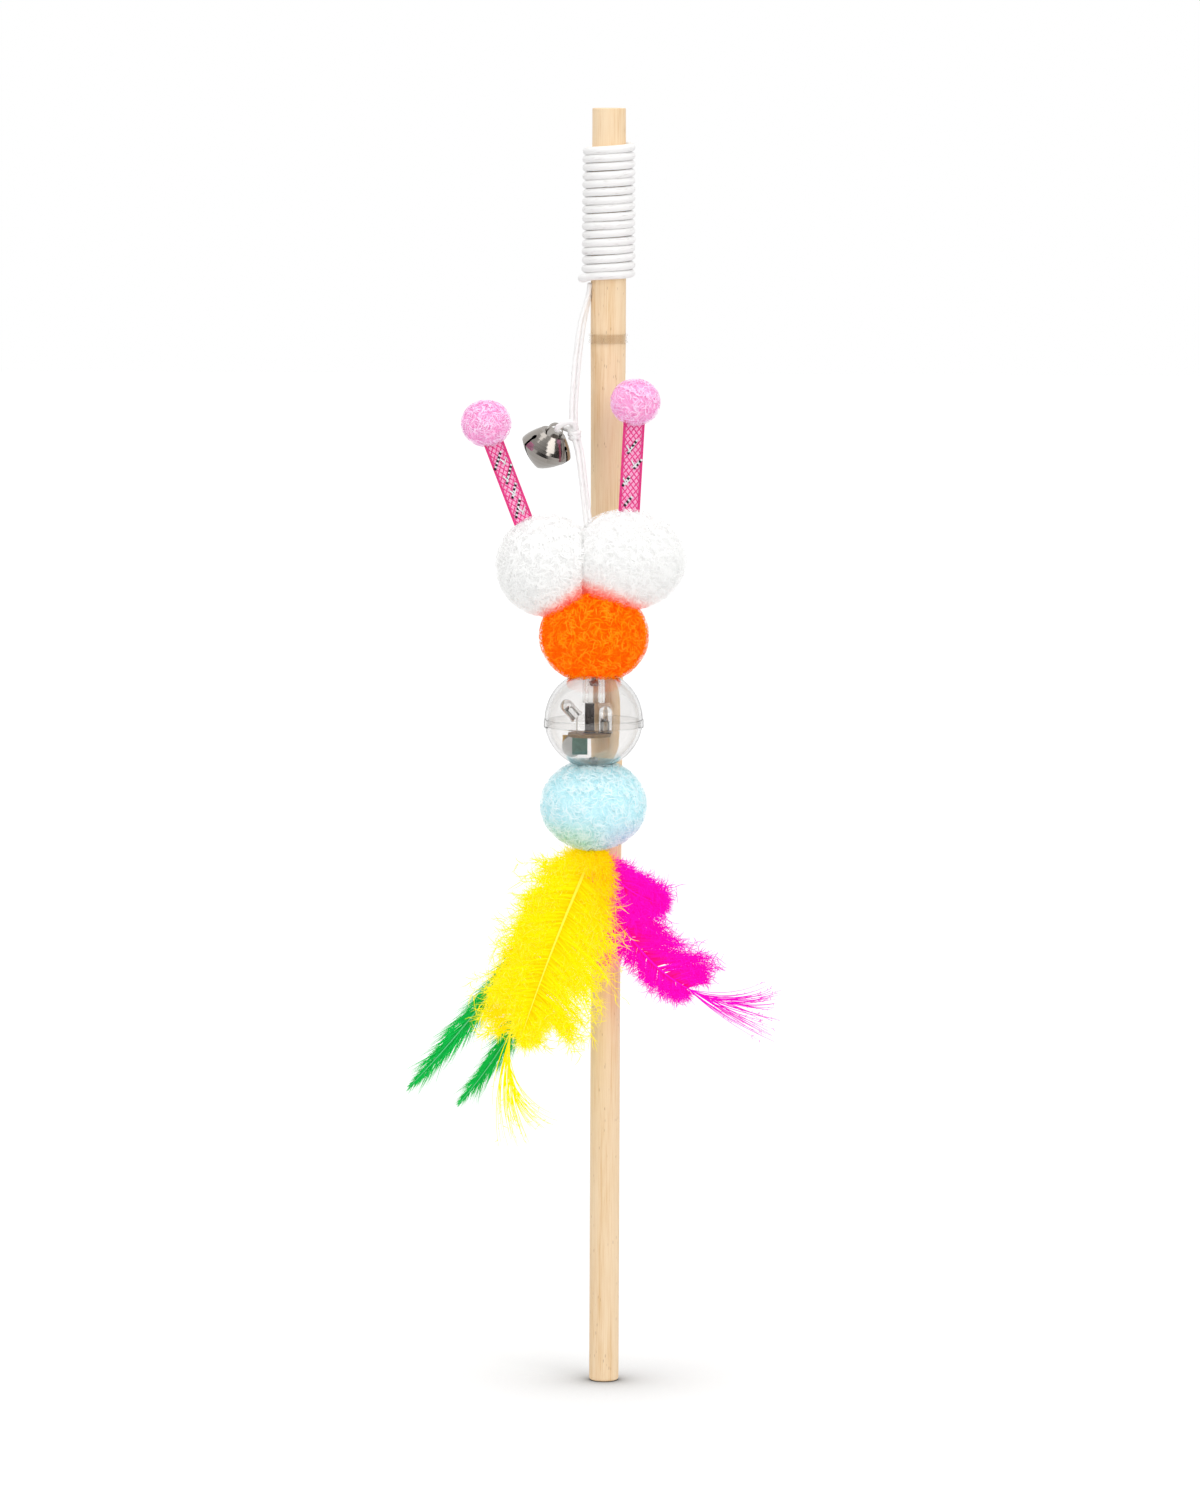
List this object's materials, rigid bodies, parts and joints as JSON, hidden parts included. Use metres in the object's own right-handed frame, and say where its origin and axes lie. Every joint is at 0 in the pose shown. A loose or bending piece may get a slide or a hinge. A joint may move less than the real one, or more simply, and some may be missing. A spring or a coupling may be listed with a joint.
{
  "type": "cat teaser wand",
  "caption": "Wooden cat teaser wand with a wound cord grip and a hanging toy of pompoms, ribbon feelers, a jingle bell, a clear light-up ball and dyed feathers.",
  "frame": {"origin": "centre of the dowel's flat butt end", "axes": "+Z along the dowel from butt to tip, -Y towards the side on which the toy hangs, +X to the right seen from that side"},
  "size_m": [0.1127, 0.047, 0.4],
  "materials": {
    "dowel_wood": "sanded, bare",
    "white_cord": "smooth braided",
    "clear_band": "clear, glossy",
    "bell_nickel": "bright nickel plate",
    "white_pompom": "plush",
    "orange_pompom": "plush",
    "blue_pompom": "plush",
    "pink_pompom": "plush",
    "pink_ribbon": "net with metallic threads",
    "clear_shell": "clear, polished",
    "circuit_board": "satin laminate",
    "lamp_lens": "clear, glossy",
    "switch_can": "satin",
    "cell_steel": "satin",
    "holder_plastic": "moulded",
    "clip_brass": "bright strip",
    "crimp_steel": "dark",
    "yellow_feather": "dyed down",
    "green_feather": "dyed down",
    "magenta_feather": "dyed down"
  },
  "bodies": {
    "wand": {"dowel": "dowel_wood", "grip_winding": "white_cord"},
    "band": {"retaining_band": "clear_band"},
    "line_top": {"cord_exit": "white_cord"},
    "line": {"cord_upper": "white_cord", "bell_knot": "white_cord", "cord_lower": "white_cord"},
    "bell": {"bell_shell": "bell_nickel", "bell_shank": "bell_nickel"},
    "pellet": {"bell_pellet": "cell_steel"},
    "head": {"white_pompom_left": "white_pompom", "white_pompom_right": "white_pompom", "orange_pompom": "orange_pompom", "toy_cord": "white_cord"},
    "feeler_left": {"antenna_ribbon_left": "pink_ribbon", "pink_pompom_left": "pink_pompom"},
    "feeler_right": {"antenna_ribbon_right": "pink_ribbon", "pink_pompom_right": "pink_pompom"},
    "ball": {"ball_upper_shell": "clear_shell", "ball_lower_shell": "clear_shell", "ball_lower_knot": "white_cord", "led_board": "circuit_board", "led_left": "lamp_lens", "led_right": "lamp_lens", "spring_switch": "switch_can", "battery_cells": "cell_steel", "battery_holder": "holder_plastic", "contact_clip": "clip_brass"},
    "tail": {"blue_pompom": "blue_pompom", "tail_cord": "white_cord", "feather_crimp": "crimp_steel", "yellow_feather_front": "yellow_feather", "yellow_feather_back": "yellow_feather"},
    "green_spray": {"green_feather_left": "green_feather", "green_feather_inner": "green_feather"},
    "magenta_spray": {"magenta_feather_long": "magenta_feather", "magenta_feather_short": "magenta_feather"}
  },
  "joints": [
    {"name": "band_slide", "type": "slide", "parent": "wand", "child": "band", "axis": [0, 0, 1], "range_m": [-0.04, 0.008]},
    {"name": "cord_lift", "type": "hinge", "parent": "wand", "child": "line_top", "pos_m": [-0.00653, -0.00155, 0.34572], "axis": [-1, 0, 0], "range_deg": [0, 50]},
    {"name": "cord_swing", "type": "hinge", "parent": "line_top", "child": "line", "pos_m": [-0.0075, -0.00258, 0.33948], "axis": [0, -1, 0], "range_deg": [-25, 10]},
    {"name": "bell_swing", "type": "hinge", "parent": "line", "child": "bell", "pos_m": [-0.01567, -0.01423, 0.30123], "axis": [0, 1, 0], "range_deg": [0, 30]},
    {"name": "pellet_rattle", "type": "slide", "parent": "bell", "child": "pellet", "axis": [0.3774, -0.328, 0.866], "range_m": [0, 0.004]},
    {"name": "head_sway", "type": "hinge", "parent": "line", "child": "head", "pos_m": [-0.00679, -0.02221, 0.27232], "axis": [0, -1, 0], "range_deg": [-10, 12]},
    {"name": "feeler_left_bend", "type": "hinge", "parent": "head", "child": "feeler_left", "pos_m": [-0.02629, -0.02221, 0.27399], "axis": [0.774, 0.5592, 0.2971], "range_deg": [-8, 20], "stiffness_Nm_per_rad": 0.004},
    {"name": "feeler_right_bend", "type": "hinge", "parent": "head", "child": "feeler_right", "pos_m": [0.00672, -0.02221, 0.27706], "axis": [0.9123, 0.4067, -0.0478], "range_deg": [-8, 20], "stiffness_Nm_per_rad": 0.004},
    {"name": "ball_spin", "type": "hinge", "parent": "head", "child": "ball", "pos_m": [-0.004, -0.02221, 0.21162], "axis": [0, 0, 1], "continuous": true},
    {"name": "tail_sway", "type": "hinge", "parent": "head", "child": "tail", "pos_m": [-0.004, -0.02221, 0.21162], "axis": [0, -1, 0], "range_deg": [-12, 12]},
    {"name": "green_sway", "type": "hinge", "parent": "tail", "child": "green_spray", "pos_m": [-0.004, -0.02221, 0.16967], "axis": [0, -1, 0], "range_deg": [-10, 6], "stiffness_Nm_per_rad": 0.01},
    {"name": "magenta_sway", "type": "hinge", "parent": "tail", "child": "magenta_spray", "pos_m": [-0.004, -0.02221, 0.16967], "axis": [0, -1, 0], "range_deg": [-10, 12], "stiffness_Nm_per_rad": 0.01}
  ]
}
